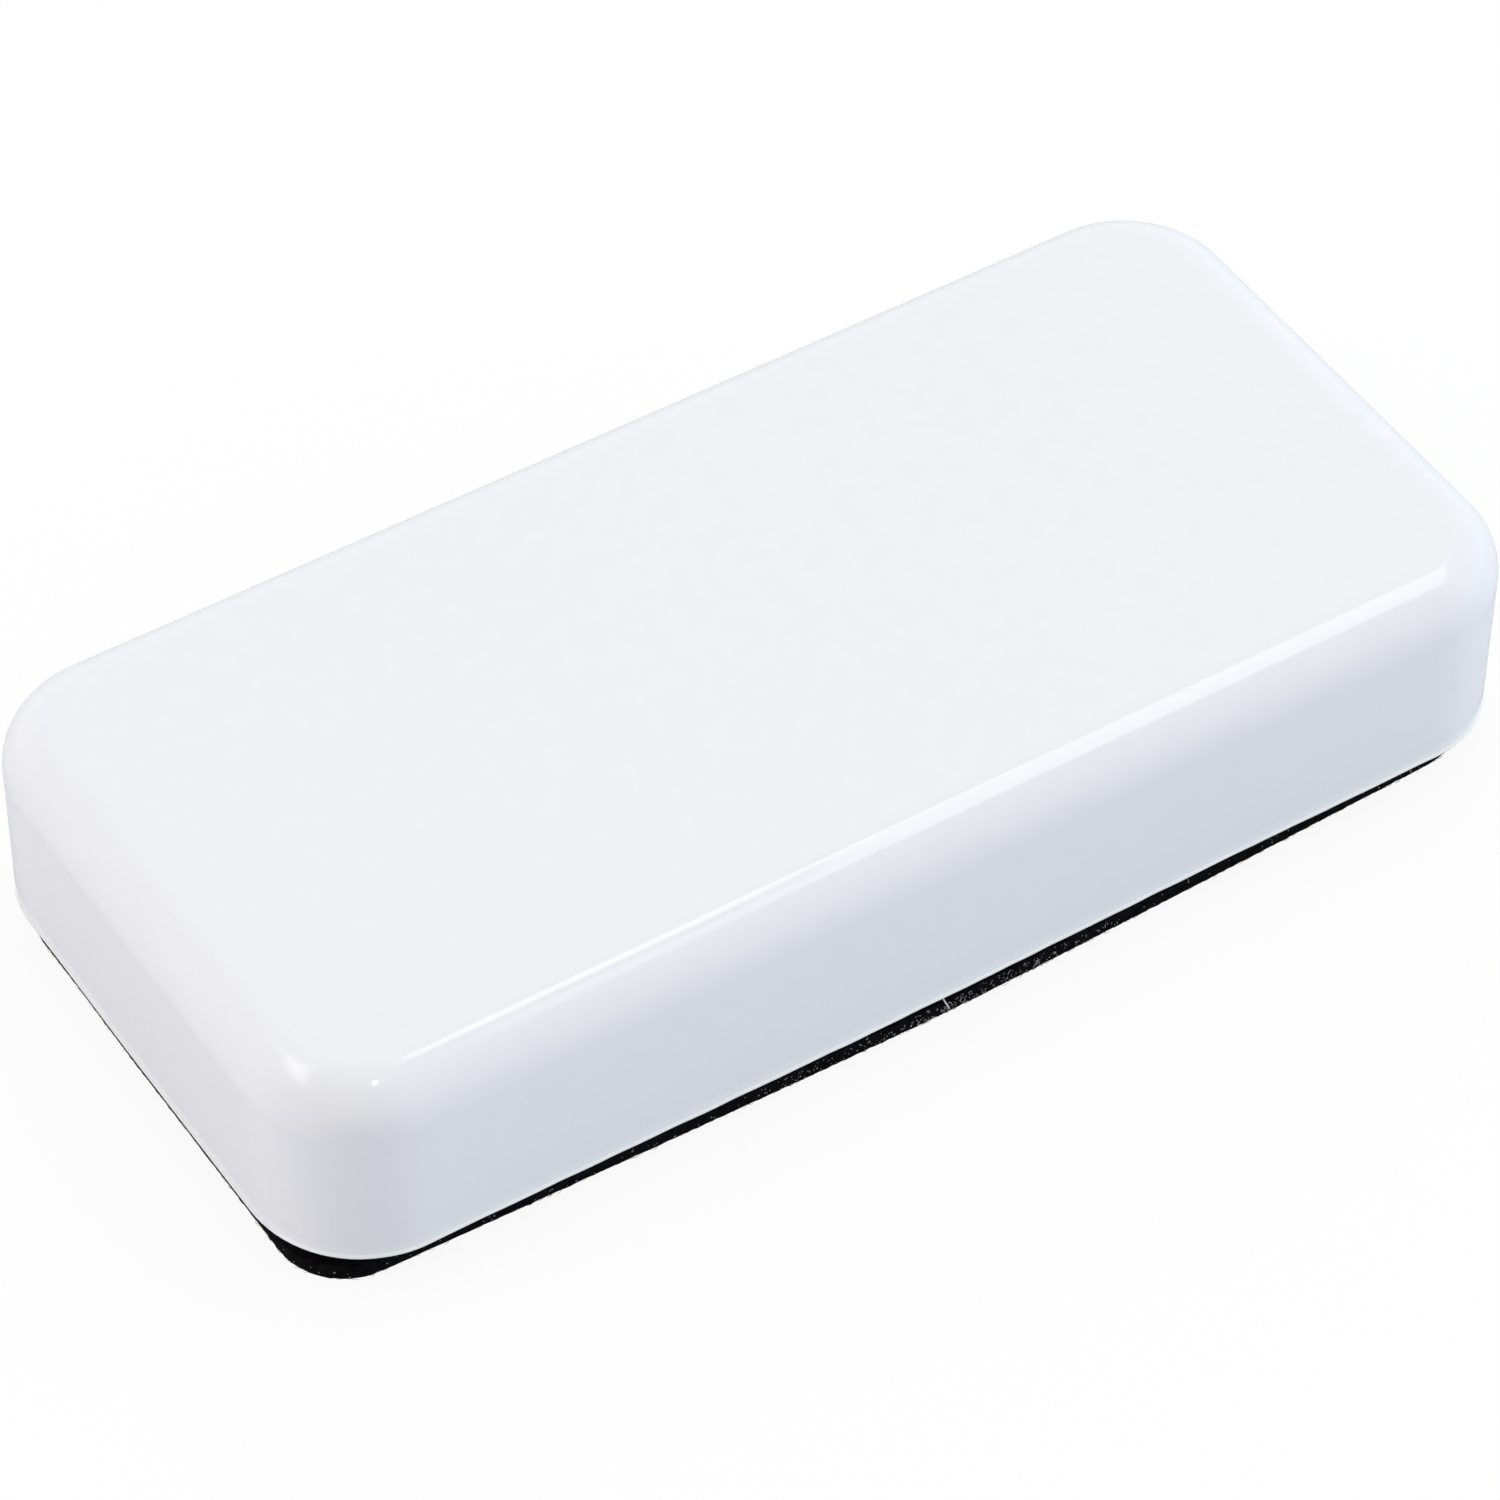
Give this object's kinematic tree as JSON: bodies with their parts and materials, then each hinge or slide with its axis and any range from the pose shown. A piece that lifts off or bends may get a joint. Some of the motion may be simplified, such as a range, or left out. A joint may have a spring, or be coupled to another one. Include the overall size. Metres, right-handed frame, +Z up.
{
  "type": "chalkboard eraser",
  "caption": "Board eraser: a rounded hard plastic shell as the grip, over a foam core with a felt wiping pad and disc magnets that hold it on a steel board.",
  "frame": {"origin": "middle of the felt's wiping face, which is the lowest face", "axes": "+X along the eraser's length, -Y towards the front long side, +Z up out of the shell's flat top"},
  "size_m": [0.11, 0.0524, 0.02],
  "materials": {
    "shell_plastic": "gloss",
    "adhesive_film": "satin",
    "black_foam": "matte",
    "hot_glue": "satin",
    "ferrite": "matte",
    "black_felt": "matte"
  },
  "bodies": {
    "root": {"shell": "shell_plastic", "core_adhesive_sheet": "adhesive_film", "foam_core": "black_foam", "magnet_glue_left": "hot_glue", "magnet_glue_right": "hot_glue", "magnet_left": "ferrite", "magnet_right": "ferrite", "felt_adhesive_sheet": "adhesive_film", "felt_pad": "black_felt"}
  },
  "joints": []
}
